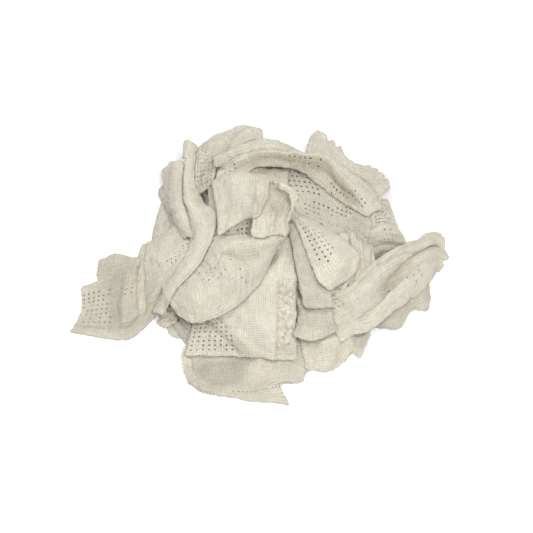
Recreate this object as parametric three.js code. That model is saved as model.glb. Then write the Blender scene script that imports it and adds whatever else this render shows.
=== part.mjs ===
// A wrung heap of cut cotton cleaning rags, white cellular weave with raw edges.
// Millimetres, +Z up, the rags' undersides on z = 0, origin under the middle of the heap.
import * as THREE from 'three';

// Cloth
const THICKNESS = 1.8;
const GAP = 0.5;
const FLAT = 0.3;
const SINK = 3;
const CELL = 10.5;

// Laying one rag on those below it
const RASTER = 1.5;
const HALF_X = 240;
const HALF_Y = 220;
const LEAN = 0.7;
const SETTLE_STEPS = 60;

// Rags in the order they are laid, each a net of [x, y, z] points on its upper face.
// Rows run along the rag, points in a row run across it.
const RAGS = [
  {
    name: 'floor_rag',
    slot: 'cotton_grey',
    cell: 26,
    net: [
      [[-88, -92, 0.8], [-30, -98, 0.8], [30, -96, 0.8], [92, -80, 0.8]],
      [[-104, -40, 0.8], [-34, -36, 0.8], [36, -34, 0.8], [112, -36, 0.8]],
      [[-98, 30, 0.8], [-30, 28, 0.8], [40, 30, 0.8], [104, 34, 0.8]],
      [[-70, 96, 0.8], [-26, 104, 0.8], [30, 100, 0.8], [80, 84, 0.8]],
    ],
  },
  {
    name: 'floor_layer',
    slot: 'cotton_grey',
    net: [
      [[-88, -70, 10], [-86, -78, 8], [-80, -88, 3], [-74, -98, 2]],
      [[-74, -66, 14], [-72, -80, 12], [-68, -92, 8], [-66, -108, 3]],
      [[-58, -62, 12], [-56, -76, 8], [-54, -90, 10], [-56, -112, 5]],
      [[-30, -60, 10], [-30, -76, 6], [-30, -90, 6], [-34, -110, 4]],
    ],
  },
  {
    name: 'bed_rag',
    slot: 'cotton_grey',
    cell: 14,
    net: [
      [
        [-72, -84, 8], [-56, -94, 8], [-30, -104, 3], [0, -106, 3],
        [36, -102, 3], [66, -96, 3], [92, -86, 3],
      ],
      [
        [-88, -62, 10], [-66, -70, 16], [-34, -78, 18], [0, -80, 22],
        [38, -78, 20], [72, -70, 14], [104, -58, 4],
      ],
      [
        [-112, -36, 4], [-76, -38, 20], [-38, -40, 36], [0, -38, 42],
        [40, -38, 36], [82, -32, 22], [124, -24, 5],
      ],
      [[-110, 4, 4], [-78, 4, 24], [-40, 4, 46], [0, 4, 52], [42, 2, 40], [86, 0, 24], [124, 8, 5]],
      [
        [-106, 46, 4], [-76, 46, 22], [-42, 46, 40], [0, 46, 46],
        [40, 46, 38], [80, 42, 24], [116, 42, 5],
      ],
      [
        [-94, 86, 4], [-70, 88, 14], [-40, 92, 24], [0, 94, 28],
        [36, 92, 28], [70, 84, 20], [100, 74, 5],
      ],
      [
        [-72, 112, 3], [-54, 120, 4], [-30, 128, 4], [0, 132, 4],
        [34, 126, 4], [60, 114, 4], [80, 98, 3],
      ],
    ],
  },
  {
    name: 'front_flap',
    net: [
      [[-60, -84, 22], [-38, -80, 22], [0, -78, 22], [35, -76, 22], [58, -84, 16]],
      [[-70, -100, 14], [-44, -98, 12], [-4, -96, 10], [32, -94, 12], [58, -102, 12]],
      [[-75, -122, 18], [-52, -116, 5], [-8, -116, 5], [28, -116, 8], [52, -118, 9]],
      [[-74, -136, 15], [-58, -130, 3], [-12, -132, 3], [22, -131, 6], [45, -134, 4]],
      [[-71, -145, 12], [-56, -142, 2], [-12, -144, 3], [18, -141, 5], [39, -145, 3]],
      [[-69, -149, 9], [-53, -151, 2], [-12, -154, 3], [6, -151, 5], [21, -147, 3]],
      [[-65, -152, 8], [-50, -158, 2], [-10, -166, 2], [14, -168, 2], [29, -171, 2]],
    ],
  },
  {
    name: 'right_under',
    slot: 'cotton_grey',
    net: [
      [[103, -68, 10], [110, -76, 5], [114, -81, 2]],
      [[118, -52, 14], [127, -68, 9], [137, -82, 2]],
      [[133, -36, 16], [142, -50, 8], [149, -61, 3]],
      [[148, -18, 14], [158, -38, 11], [165, -60, 3]],
      [[152, -4, 8], [166, -24, 9], [170, -42, 3]],
    ],
  },
  {
    name: 'lower_right',
    net: [
      [[38, -90, 22], [62, -90, 24], [82, -84, 24], [95, -80, 16], [110, -80, 10]],
      [[40, -104, 12], [64, -106, 18], [84, -97, 19], [95, -94, 8], [108, -90, 7]],
      [[43, -119, 4], [66, -121, 13], [82, -109, 11], [92, -107, 4], [103, -104, 5]],
      [[45, -130, 2], [66, -132, 3], [81, -122, 2], [91, -111, 2], [98, -117, 3]],
    ],
  },
  {
    name: 'star_sheet',
    net: [
      [[42, 82, 46], [56, 82, 46], [74, 78, 44], [90, 72, 38], [106, 62, 36], [114, 50, 36]],
      [[47, 106, 38], [60, 110, 42], [76, 104, 40], [93, 92, 36], [110, 81, 36], [124, 64, 32]],
      [[49, 134, 20], [60, 140, 22], [78, 126, 24], [93, 110, 22], [114, 98, 24], [130, 79, 20]],
      [[50, 152, 6], [59, 163, 7], [80, 145, 5], [94, 123, 4], [118, 115, 5], [136, 98, 4]],
    ],
  },
  {
    name: 'left_back',
    slot: 'cotton_grey',
    net: [
      [[-97, 92, 10], [-90, 89, 24], [-78, 84, 34], [-56, 80, 36]],
      [[-104, 86, 3], [-93, 70, 20], [-78, 58, 34], [-54, 56, 40]],
      [[-97, 67, 3], [-88, 53, 18], [-74, 38, 32], [-52, 34, 42]],
      [[-91, 47, 3], [-82, 34, 18], [-68, 16, 32], [-50, 10, 42]],
      [[-90, 28, 4], [-80, 12, 18], [-66, -4, 30], [-50, -10, 38]],
    ],
  },
  {
    name: 'left_tab',
    net: [
      [[-94, 102, 28], [-89, 102, 36], [-82, 90, 44]],
      [[-99, 96, 22], [-92, 82, 34], [-82, 69, 46]],
      [[-97, 78, 24], [-91, 65, 32], [-84, 51, 42]],
      [[-90, 57, 26], [-87, 48, 31], [-81, 35, 38]],
    ],
  },
  {
    name: 'left_rag',
    net: [
      [[-62, 34, 34], [-60, 6, 34], [-62, -18, 32], [-66, -38, 28]],
      [[-90, 24, 24], [-82, -4, 32], [-80, -28, 32], [-88, -54, 26]],
      [[-110, 20, 9], [-101, -10, 24], [-99, -38, 24], [-103, -72, 12]],
      [[-119, 14, 11], [-113, -12, 6], [-114, -42, 6], [-116, -84, 5]],
      [[-124, 4, 4], [-124, -18, 10], [-125, -46, 12], [-128, -94, 3]],
      [[-143, 5, 9], [-143, -22, 5], [-146, -52, 4], [-148, -94, 3]],
      [[-166, -1, 5], [-163, -28, 7], [-172, -55, 6], [-187, -86, 2]],
    ],
  },
  {
    name: 'right_panel',
    net: [
      [[84, 48, 30], [106, 44, 41], [118, 53, 36], [130, 66, 18]],
      [[84, 24, 28], [105, 20, 44], [120, 32, 38], [137, 47, 10]],
      [[86, 4, 26], [104, 2, 46], [122, 13, 42], [142, 29, 14]],
      [[88, -10, 26], [106, -8, 38], [126, 4, 30], [151, 17, 5]],
      [[92, -22, 22], [111, -14, 26], [130, -4, 18], [150, 8, 6]],
    ],
  },
  {
    name: 'hollow',
    slot: 'cotton_grey',
    net: [
      [[20, 92, 44], [45, 88, 44], [75, 70, 42], [106, 46, 44]],
      [[28, 64, 42], [60, 64, 34], [86, 49, 32], [109, 30, 44]],
      [[35, 39, 44], [60, 35, 32], [85, 25, 30], [109, 10, 46]],
      [[44, 4, 40], [70, 0, 30], [90, -4, 30], [108, -12, 40]],
    ],
  },
  {
    name: 'gather',
    net: [
      [[76, 6, 40], [88, 8, 41], [101, 4, 41], [112, -8, 38]],
      [[76, -28, 44], [90, -28, 47], [102, -30, 46], [113, -38, 43]],
      [[70, -54, 40], [84, -52, 44], [97, -54, 43], [107, -62, 40]],
      [[60, -68, 34], [76, -71, 38], [90, -73, 37], [101, -79, 34]],
      [[50, -84, 24], [68, -90, 28], [84, -94, 28], [98, -98, 22]],
    ],
  },
  {
    name: 'right_arm',
    slot: 'cotton_bright',
    net: [
      [[46, -66, 30], [56, -78, 30], [66, -90, 26], [74, -98, 20], [80, -104, 13]],
      [[68, -67, 36], [76, -70, 33], [84, -80, 31], [90, -89, 27], [97, -96, 17]],
      [[90, -53, 40], [95, -64, 43], [99, -74, 37], [104, -84, 33], [110, -92, 17]],
      [[112, -25, 38], [118, -40, 41], [125, -52, 31], [129, -65, 34], [127, -74, 16]],
      [[134, -4, 31], [139, -22, 37], [146, -31, 25], [152, -46, 28], [150, -54, 14]],
      [[151, 12, 20], [156, -6, 31], [160, -16, 22], [165, -28, 24], [168, -32, 10]],
      [[170, 34, 6], [176, 14, 20], [178, 4, 14], [177, -8, 14], [176, -17, 6]],
      [[183, 32, 5], [186, 16, 10], [189, 2, 8], [186, -6, 8], [180, -14, 5]],
    ],
  },
  {
    name: 'tuft',
    net: [
      [[-93, -60, 24], [-87, -60, 26], [-80, -66, 24]],
      [[-93, -68, 16], [-84, -74, 20], [-75, -74, 20]],
      [[-103, -78, 7], [-93, -83, 7], [-82, -76, 13]],
    ],
  },
  {
    name: 'core_sheet',
    slot: 'cotton_grey',
    net: [
      [[-55, 88, 44], [-15, 84, 50], [28, 82, 46]],
      [[-57, 55, 44], [-20, 46, 60], [28, 50, 52]],
      [[-50, 25, 44], [-20, 17, 58], [26, 17, 56]],
      [[-48, -6, 44], [-20, -12, 56], [18, -12, 56]],
    ],
  },
  {
    name: 'inner_panel',
    slot: 'cotton_grey',
    net: [
      [[-52, 52, 58], [-30, 52, 62], [0, 50, 64], [26, 44, 62]],
      [[-50, 26, 60], [-30, 24, 70], [0, 25, 69], [27, 24, 58]],
      [[-47, 4, 60], [-30, 0, 67], [-4, 2, 68], [24, 6, 58]],
      [[-43, -16, 54], [-28, -20, 61], [-6, -16, 65], [20, -8, 57]],
    ],
  },
  {
    name: 'back_loop',
    net: [
      [[-72, 46, 48], [-62, 46, 53], [-54, 54, 50], [-47, 64, 48]],
      [[-76, 68, 48], [-64, 66, 58], [-54, 73, 54], [-44, 81, 50]],
      [[-76, 99, 30], [-63, 98, 52], [-51, 93, 56], [-41, 92, 52]],
      [[-62, 138, 8], [-53, 127, 36], [-44, 112, 52], [-36, 103, 50]],
      [[-38, 152, 5], [-34, 141, 32], [-30, 122, 50], [-27, 113, 52]],
      [[-16, 158, 4], [-16, 148, 32], [-14, 129, 50], [-13, 117, 54]],
      [[2, 156, 4], [0, 148, 28], [2, 132, 42], [3, 121, 45]],
    ],
  },
  {
    name: 'back_band',
    net: [
      [[-46, 78, 54], [-47, 86, 60], [-42, 96, 50], [-40, 108, 34]],
      [[-25, 82, 60], [-27, 91, 66], [-24, 105, 54], [-22, 118, 28]],
      [[2, 88, 62], [0, 97, 68], [2, 114, 54], [4, 134, 14]],
      [[25, 88, 60], [25, 97, 64], [25, 114, 48], [26, 138, 5]],
      [[43, 89, 54], [43, 98, 52], [42, 111, 38], [42, 132, 4]],
    ],
  },
  {
    name: 'ridge_band',
    slot: 'cotton_bright',
    net: [
      [[-38, 76, 60], [-40, 70, 66], [-43, 62, 66], [-46, 55, 58]],
      [[-20, 88, 64], [-18, 80, 71], [-17, 72, 74], [-14, 66, 64]],
      [[2, 92, 66], [2, 84, 74], [2, 77, 77], [2, 71, 68]],
      [[40, 92, 62], [40, 84, 72], [40, 75, 76], [38, 69, 64]],
      [[66, 92, 56], [67, 81, 69], [66, 70, 74], [58, 57, 56]],
      [[90, 84, 44], [87, 68, 61], [80, 52, 70], [75, 44, 52]],
      [[110, 66, 38], [103, 54, 55], [95, 40, 65], [90, 34, 50]],
      [[122, 44, 32], [117, 38, 38], [111, 31, 42], [105, 27, 42]],
    ],
  },
  {
    name: 'front_panel',
    slot: 'cotton_bright',
    net: [
      [[-55, -32, 34], [-28, -31, 46], [-5, -28, 52], [10, -26, 58], [23, -17, 66], [32, -13, 64]],
      [[-58, -56, 30], [-33, -56, 40], [-8, -55, 46], [10, -57, 52], [24, -49, 58], [35, -46, 54]],
      [[-63, -78, 24], [-36, -80, 31], [-10, -81, 38], [11, -81, 42], [25, -79, 45], [35, -75, 42]],
      [
        [-68, -100, 19], [-38, -100, 21], [-10, -104, 28],
        [12, -106, 31], [25, -105, 32], [35, -103, 30],
      ],
      [
        [-73, -121, 14], [-38, -119, 12], [-10, -123, 15],
        [12, -126, 16], [25, -126, 14], [36, -123, 12],
      ],
    ],
  },
  {
    name: 'tab',
    net: [
      [[37, -66, 34], [52, -64, 35], [67, -66, 34]],
      [[38, -83, 29], [53, -84, 32], [71, -87, 30]],
      [[32, -103, 22], [54, -109, 23], [76, -98, 24]],
    ],
  },
  {
    name: 'grey_strip',
    slot: 'cotton_grey',
    net: [
      [[27, -5, 74], [36, -5, 74], [46, -8, 70]],
      [[33, -35, 64], [43, -35, 66], [56, -32, 60]],
      [[38, -59, 52], [50, -59, 54], [66, -55, 48]],
      [[43, -79, 38], [56, -83, 40], [73, -79, 38]],
    ],
  },
  {
    name: 'corner_flap',
    slot: 'cotton_bright',
    net: [
      [[29, 5, 78], [33, 8, 80], [37, 7, 78]],
      [[38, -14, 74], [48, -12, 78], [60, -6, 72]],
      [[46, -36, 67], [62, -32, 73], [82, -14, 60]],
      [[57, -60, 56], [76, -49, 62], [97, -24, 50]],
      [[69, -66, 46], [83, -57, 49], [95, -43, 45]],
    ],
  },
  {
    name: 'bowl_panel',
    net: [
      [[-98, -49, 30], [-92, -62, 34], [-91, -67, 34], [-86, -75, 33], [-80, -83, 30]],
      [[-82, -36, 36], [-72, -55, 41], [-69, -66, 42], [-67, -79, 40], [-65, -94, 32]],
      [[-66, -21, 42], [-52, -44, 52], [-48, -55, 53], [-45, -70, 51], [-47, -94, 38]],
      [[-50, -6, 52], [-36, -28, 67], [-32, -38, 61], [-25, -58, 60], [-25, -85, 44]],
      [[-12, -12, 66], [-11, -26, 74], [-10, -38, 63], [-4, -50, 62], [-4, -66, 52]],
      [[14, -10, 68], [13, -22, 76], [12, -31, 66], [10, -40, 64], [6, -52, 58]],
      [[30, -6, 72], [29, -13, 76], [26, -20, 72], [20, -27, 70], [14, -34, 66]],
    ],
  },
  {
    name: 'left_strip',
    slot: 'cotton_bright',
    net: [
      [[-78, 116, 44], [-74, 114, 55], [-69, 111, 56], [-64, 110, 48]],
      [[-79, 92, 50], [-75, 87, 61], [-70, 86, 61], [-65, 88, 54]],
      [[-81, 66, 54], [-76, 57, 65], [-71, 56, 64], [-65, 60, 56]],
      [[-82, 44, 51], [-74, 32, 63], [-65, 30, 64], [-56, 36, 56]],
      [[-75, 15, 51], [-65, 8, 61], [-54, 8, 63], [-43, 18, 58]],
      [[-69, -10, 48], [-62, -14, 55], [-55, -14, 58], [-47, -10, 57]],
      [[-79, -32, 43], [-72, -33, 46], [-66, -35, 47], [-60, -34, 46]],
      [[-92, -50, 34], [-89, -53, 38], [-86, -56, 39], [-82, -58, 37]],
      [[-106, -74, 20], [-102, -78, 24], [-98, -80, 26], [-94, -80, 24]],
    ],
  },
  {
    name: 'left_fold',
    net: [
      [[-88, 88, 50], [-84, 86, 58], [-80, 85, 58], [-76, 86, 54]],
      [[-90, 68, 46], [-86, 62, 56], [-82, 60, 57], [-78, 62, 56]],
      [[-90, 44, 42], [-86, 38, 52], [-82, 36, 54], [-77, 38, 52]],
      [[-84, 22, 38], [-80, 17, 48], [-76, 14, 51], [-70, 14, 50]],
      [[-75, 3, 38], [-72, 0, 45], [-69, -1, 46], [-66, 0, 45]],
    ],
  },
  {
    name: 'top_curl',
    slot: 'cotton_bright',
    net: [
      [[2, 48, 72], [11, 43, 78], [21, 36, 84], [31, 31, 82], [38, 22, 78]],
      [[1, 43, 80], [10, 40, 84], [21, 29, 95], [31, 24, 93], [37, 15, 88]],
      [[3, 37, 76], [12, 33, 78], [21, 29, 81], [29, 21, 83], [34, 7, 88]],
      [[0, 20, 76], [11, 18, 75], [20, 18, 74], [28, 11, 78], [32, -2, 86]],
      [[-7, -1, 80], [4, -4, 82], [16, 2, 74], [24, -3, 77], [29, -11, 82]],
      [[-9, -22, 78], [2, -26, 79], [13, -20, 76], [20, -21, 77], [24, -23, 77]],
    ],
  },
  {
    name: 'top_flap',
    net: [
      [[-46, 58, 60], [-30, 62, 62], [-13, 62, 64], [0, 56, 63], [9, 50, 66]],
      [[-48, 48, 70], [-32, 50, 80], [-14, 50, 84], [0, 42, 86], [9, 37, 86]],
      [[-46, 36, 76], [-31, 36, 85], [-14, 36, 90], [-1, 33, 87], [9, 30, 85]],
      [[-44, 20, 75], [-29, 20, 84], [-13, 20, 89], [-3, 19, 86], [7, 21, 82]],
      [[-42, 3, 73], [-28, 4, 81], [-12, 6, 86], [-5, 7, 84], [3, 10, 82]],
      [[-41, -16, 68], [-27, -10, 76], [-11, -3, 81], [-6, -2, 80], [0, 1, 80]],
    ],
  },
];

// Cloth colours: most rags are cream, some are greyer or whiter
const COLOURS = {
  cotton_cream: '#d6cfbe',
  cotton_grey: '#c9c4b7',
  cotton_bright: '#dfd9c9',
};

// Height of everything laid so far, kept on a square raster.
const COLUMNS = Math.round((2 * HALF_X) / RASTER) + 1;
const ROWS = Math.round((2 * HALF_Y) / RASTER) + 1;
const heights = new Float64Array(COLUMNS * ROWS).fill(-GAP);
let reach = heights.slice();

function rasterIndex(x, y) {
  const column = Math.round((x + HALF_X) / RASTER);
  const row = Math.round((y + HALF_Y) / RASTER);
  return row * COLUMNS + column;
}

function widenHeights() {
  reach = heights.slice();
  for (let row = 1; row < ROWS - 1; row += 1) {
    for (let column = 1; column < COLUMNS - 1; column += 1) {
      let top = heights[row * COLUMNS + column];
      for (let dy = -1; dy <= 1; dy += 1) {
        for (let dx = -1; dx <= 1; dx += 1) {
          top = Math.max(top, heights[(row + dy) * COLUMNS + column + dx]);
        }
      }
      reach[row * COLUMNS + column] = top;
    }
  }
}

// Smooth curve through evenly spaced points, straight beyond both ends.
function splineWeights(count, t) {
  const i = Math.min(Math.floor(t), count - 2);
  const f = t - i;
  const weights = new Array(count).fill(0);
  const basis = [
    -0.5 * f + f * f - 0.5 * f ** 3,
    1 - 2.5 * f * f + 1.5 * f ** 3,
    0.5 * f + 2 * f * f - 1.5 * f ** 3,
    -0.5 * f * f + 0.5 * f ** 3,
  ];
  basis.forEach((value, k) => {
    const j = i - 1 + k;
    if (j < 0) {
      weights[0] += 2 * value;
      weights[1] -= value;
    } else if (j > count - 1) {
      weights[count - 1] += 2 * value;
      weights[count - 2] -= value;
    } else {
      weights[j] += value;
    }
  });
  return weights;
}

function netPoint(net, u, v) {
  const rows = splineWeights(net.length, u * (net.length - 1));
  const across = splineWeights(net[0].length, v * (net[0].length - 1));
  const point = new THREE.Vector3();
  rows.forEach((a, i) => {
    across.forEach((b, j) => {
      point.x += a * b * net[i][j][0];
      point.y += a * b * net[i][j][1];
      point.z += a * b * net[i][j][2];
    });
  });
  return point;
}

function lengthAlong(net, fixed, alongRows) {
  let total = 0;
  let last = null;
  for (let k = 0; k <= 20; k += 1) {
    const p = alongRows ? netPoint(net, k / 20, fixed) : netPoint(net, fixed, k / 20);
    if (last) total += p.distanceTo(last);
    last = p;
  }
  return total;
}

// A rag is a grid of points with an upper and a lower skin.
function makeGrid(net, cell) {
  const long = (lengthAlong(net, 0, true) + lengthAlong(net, 0.5, true) + lengthAlong(net, 1, true)) / 3;
  const wide = (lengthAlong(net, 0, false) + lengthAlong(net, 0.5, false) + lengthAlong(net, 1, false)) / 3;
  const n = Math.max(3, Math.round(long / cell)) + 1;
  const m = Math.max(3, Math.round(wide / cell)) + 1;
  const base = [];
  for (let i = 0; i < n; i += 1) {
    for (let j = 0; j < m; j += 1) {
      const point = netPoint(net, i / (n - 1), j / (m - 1));
      point.z = Math.max(point.z - SINK, THICKNESS / 2);
      base.push(point);
    }
  }
  return { n, m, base, lift: new Float64Array(n * m) };
}

function placed(grid) {
  return grid.base.map((p, k) => new THREE.Vector3(p.x, p.y - LEAN * grid.lift[k], p.z + grid.lift[k]));
}

function gridNormals(grid, points) {
  const { n, m } = grid;
  const normals = [];
  for (let i = 0; i < n; i += 1) {
    for (let j = 0; j < m; j += 1) {
      const along = points[Math.min(i + 1, n - 1) * m + j].clone().sub(points[Math.max(i - 1, 0) * m + j]);
      const across = points[i * m + Math.min(j + 1, m - 1)].clone().sub(points[i * m + Math.max(j - 1, 0)]);
      normals.push(along.cross(across).normalize());
    }
  }
  let up = 0;
  normals.forEach((normal) => { up += normal.z; });
  if (up < 0) normals.forEach((normal) => normal.negate());
  return normals;
}

function skins(grid) {
  const middle = placed(grid);
  const normals = gridNormals(grid, middle);
  const upper = middle.map((p, k) => p.clone().addScaledVector(normals[k], THICKNESS / 2));
  const lower = middle.map((p, k) => {
    const q = p.clone().addScaledVector(normals[k], -THICKNESS / 2);
    if (Math.abs(q.z) < FLAT) q.z = 0;
    return q;
  });
  return { upper, lower, normals };
}

function gridTriangles(n, m) {
  const triangles = [];
  for (let i = 0; i < n - 1; i += 1) {
    for (let j = 0; j < m - 1; j += 1) {
      const a = i * m + j;
      const b = a + 1;
      const c = a + m;
      const d = c + 1;
      if ((i + j) % 2 === 0) triangles.push([a, c, d], [a, d, b]);
      else triangles.push([a, c, b], [b, c, d]);
    }
  }
  return triangles;
}

// Visits evenly spread points of a triangle, at most `step` apart.
function samples(points, triangle, step, visit) {
  const [a, b, c] = triangle.map((k) => points[k]);
  const longest = Math.max(a.distanceTo(b), b.distanceTo(c), c.distanceTo(a));
  const count = Math.max(2, Math.ceil(longest / step));
  for (let i = 0; i <= count; i += 1) {
    for (let j = 0; j <= count - i; j += 1) {
      const s = i / count;
      const t = j / count;
      const r = 1 - s - t;
      visit(
        r * a.x + s * b.x + t * c.x,
        r * a.y + s * b.y + t * c.y,
        r * a.z + s * b.z + t * c.z,
        [r, s, t],
      );
    }
  }
}

// Raises a rag until it clears everything below it, keeping the raise smooth.
function settle(grid) {
  const { n, m } = grid;
  const triangles = gridTriangles(n, m);
  for (let step = 0; step < SETTLE_STEPS; step += 1) {
    const { lower } = skins(grid);
    const needed = new Float64Array(n * m);
    triangles.forEach((triangle) => {
      samples(lower, triangle, RASTER, (x, y, z, weights) => {
        const short = reach[rasterIndex(x, y)] + GAP - z;
        if (short <= 0) return;
        triangle.forEach((k, corner) => {
          if (weights[corner] > 0.2) needed[k] = Math.max(needed[k], short);
        });
      });
    });
    for (let k = 0; k < n * m; k += 1) grid.lift[k] += needed[k];
    if (step >= SETTLE_STEPS - 12) continue;
    const smooth = grid.lift.slice();
    for (let i = 0; i < n; i += 1) {
      for (let j = 0; j < m; j += 1) {
        let total = 0;
        let count = 0;
        [[-1, 0], [1, 0], [0, -1], [0, 1]].forEach(([di, dj]) => {
          const k = (i + di) * m + j + dj;
          if (i + di < 0 || i + di >= n || j + dj < 0 || j + dj >= m) return;
          total += grid.lift[k];
          count += 1;
        });
        const k = i * m + j;
        smooth[k] = 0.6 * grid.lift[k] + 0.38 * (total / count);
      }
    }
    grid.lift = smooth;
  }
}

function layDown(grid) {
  const { upper, lower } = skins(grid);
  const triangles = gridTriangles(grid.n, grid.m);
  [upper, lower].forEach((skin) => {
    triangles.forEach((triangle) => {
      samples(skin, triangle, RASTER / 2, (x, y, z) => {
        const k = rasterIndex(x, y);
        heights[k] = Math.max(heights[k], z);
      });
    });
  });
  widenHeights();
}

// Closed solid: upper skin, lower skin and a narrow wall round the cut edge.
function solid(grid) {
  const { n, m } = grid;
  const { upper, lower } = skins(grid);
  const rim = [];
  for (let j = 0; j < m - 1; j += 1) rim.push(j);
  for (let i = 0; i < n - 1; i += 1) rim.push(i * m + m - 1);
  for (let j = m - 1; j > 0; j -= 1) rim.push((n - 1) * m + j);
  for (let i = n - 1; i > 0; i -= 1) rim.push(i * m);
  const points = [...upper, ...lower];
  const total = n * m;
  const index = [];
  gridTriangles(n, m).forEach(([a, b, c]) => {
    index.push(a, b, c);
    index.push(a + total, c + total, b + total);
  });
  rim.forEach((a, k) => {
    const b = rim[(k + 1) % rim.length];
    index.push(a, b, b + total);
    index.push(a, b + total, a + total);
  });
  let volume = 0;
  for (let k = 0; k < index.length; k += 3) {
    const [a, b, c] = [points[index[k]], points[index[k + 1]], points[index[k + 2]]];
    volume += a.dot(b.clone().cross(c)) / 6;
  }
  if (volume < 0) {
    for (let k = 0; k < index.length; k += 3) {
      [index[k + 1], index[k + 2]] = [index[k + 2], index[k + 1]];
    }
  }
  return { points, index };
}

const solids = RAGS.map((rag) => {
  const grid = makeGrid(rag.net, rag.cell || CELL);
  settle(grid);
  layDown(grid);
  return { rag, ...solid(grid) };
});

const box = new THREE.Box3();
solids.forEach(({ points }) => points.forEach((p) => box.expandByPoint(p)));
const shift = new THREE.Vector3(
  -(box.min.x + box.max.x) / 2,
  -(box.min.y + box.max.y) / 2,
  -box.min.z,
);

const heap = new THREE.Group();
heap.name = 'rag_heap';
solids.forEach(({ rag, points, index }) => {
  const positions = [];
  points.forEach((p) => positions.push(p.x + shift.x, p.y + shift.y, p.z + shift.z));
  const geometry = new THREE.BufferGeometry();
  geometry.setAttribute('position', new THREE.Float32BufferAttribute(positions, 3));
  geometry.setIndex(index);
  geometry.computeVertexNormals();
  const material = new THREE.MeshStandardMaterial({
    color: COLOURS[rag.slot || 'cotton_cream'],
    roughness: 0.95,
    metalness: 0,
  });
  const mesh = new THREE.Mesh(geometry, material);
  mesh.name = rag.name;
  heap.add(mesh);
});

export default heap;
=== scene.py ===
"""Visual model of the heap of wrung cotton rags: the sheets of the CAD model woven fine, with
crumples, open cells and frayed cut edges. Nets are in millimetres, everything built in metres."""
import math
from collections import namedtuple

import bpy
import numpy as np
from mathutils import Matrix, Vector


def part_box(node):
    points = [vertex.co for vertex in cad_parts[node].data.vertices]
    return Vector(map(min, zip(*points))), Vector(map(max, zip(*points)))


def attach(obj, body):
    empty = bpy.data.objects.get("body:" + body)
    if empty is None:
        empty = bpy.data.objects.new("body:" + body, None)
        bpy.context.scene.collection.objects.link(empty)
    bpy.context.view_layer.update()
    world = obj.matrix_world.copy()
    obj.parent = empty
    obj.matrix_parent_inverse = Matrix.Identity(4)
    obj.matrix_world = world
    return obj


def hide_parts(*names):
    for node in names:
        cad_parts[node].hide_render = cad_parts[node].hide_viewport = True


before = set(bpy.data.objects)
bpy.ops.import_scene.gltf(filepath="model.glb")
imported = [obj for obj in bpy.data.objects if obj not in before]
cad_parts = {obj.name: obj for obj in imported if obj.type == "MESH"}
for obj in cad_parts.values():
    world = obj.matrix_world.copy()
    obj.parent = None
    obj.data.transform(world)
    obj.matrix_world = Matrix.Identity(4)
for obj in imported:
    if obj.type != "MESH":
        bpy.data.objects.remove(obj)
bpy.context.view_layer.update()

MM = 0.001

# Cloth, in mm
CELL = 5.1            # one open cell of the weave
COARSER = 3           # how many times coarser a hidden rag is woven
FINE = 4              # quads across one cell
OPENING = 0.3         # how far an open cell's corners are drawn out
THICKNESS = 1.0

# Crumples, as heights and wavelengths in mm
WAVES = ((0.8, 30), (0.65, 13), (0.3, 7.5))
FOLDS = ((0.9, 22), (0.7, 10))          # noise with sharp ridges
RIDGE_LEVEL = 0.35
PUCKERS = (0.28, 4.2)                   # the same on every rag
RIB_LENGTH = 34                         # how long the crinkles are
LUMP_LENGTH = 4.5
EDGE_WOBBLE = ((0.9, 16), (0.7, 7), (0.45, 3.2))
CUT_WOBBLE = ((0.9, 12), (0.6, 5))

# Laying
GAP = 0.45            # clearance between rags
SINK = 3              # how far the nets are let down towards the surface
LEAN = 0.7            # forward slide of a rag for each millimetre that it is raised
RASTER = 1.0          # step of the height map that rags are laid on
HALF_X = 240          # the height map's half width and half depth
HALF_Y = 220
SETTLE_STEPS = 44
FIRM_STEPS = 12       # the last steps of settling, with hardly any smoothing
WIDEST_BLUR = 7       # grid steps, at the start of settling
DROOP_STEPS = 8
FAR = 30.0            # counts as far from any edge
EDGE_REACH = 22       # how far in from the edges distances are worked out
TRIM_PAST = 20        # how far a trimmed area reaches past the sheet

# Yarn, in mm
YARNS_PER_CELL = 2.2
YARN = 0.3            # radius of a loose yarn
YARN_STEP = 1.0       # mean distance between loose ends along a cut edge
YARN_RINGS = ((-0.3, 1), (0.35, 0.95), (0.7, 0.8), (1.0, 0.45))  # place along it, and taper
YARN_CORNERS = (0.5, 2.6, 4.7)  # radians round it
LOOSE_END = (0.4, 4)            # shortest and longest
LONG_END = (3, 9)
TUFT_END = (1.2, 3.6)

# Colours
# Painted shade in the gaps between the yarns
YARN_GAP_SHADE = (0.74, 0.725, 0.68)
# Greys a sheet where its tone says: mostly painted shade in hollows, under overhangs and along creases,
# partly some rags' own greyer cloth
GREY_AND_SHADE_TONE = (0.72, 0.725, 0.735)
# The painted shadow seen through a hole, on open cells that are left closed
SHADED_CELL = (0.42, 0.4, 0.35)
WHITE = (1, 1, 1)
# cotton_bright and cotton_grey are cotton_cream made lighter and darker: mostly painted light for the
# rags on top and painted shade for those under or deep in the heap, partly the cloth's own uneven colour
COTTONS = {             # the cloth's colour, and its colour where it is mottled
    "cotton_cream": ((0.85, 0.797, 0.67), (0.75, 0.705, 0.6)),
    "cotton_grey": ((0.78, 0.735, 0.625), (0.70, 0.665, 0.575)),
    "cotton_bright": ((0.89, 0.835, 0.705), (0.8, 0.75, 0.63)),
}

# Camera
ELEVATION = math.radians(55)
DISTANCE = 3.0
VIEW_WIDTH = 0.533
VIEW_MIDDLE = (6.5, -6.35)  # mm, from the nets' origin
SENSOR = 36

# ------- the rags

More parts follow.
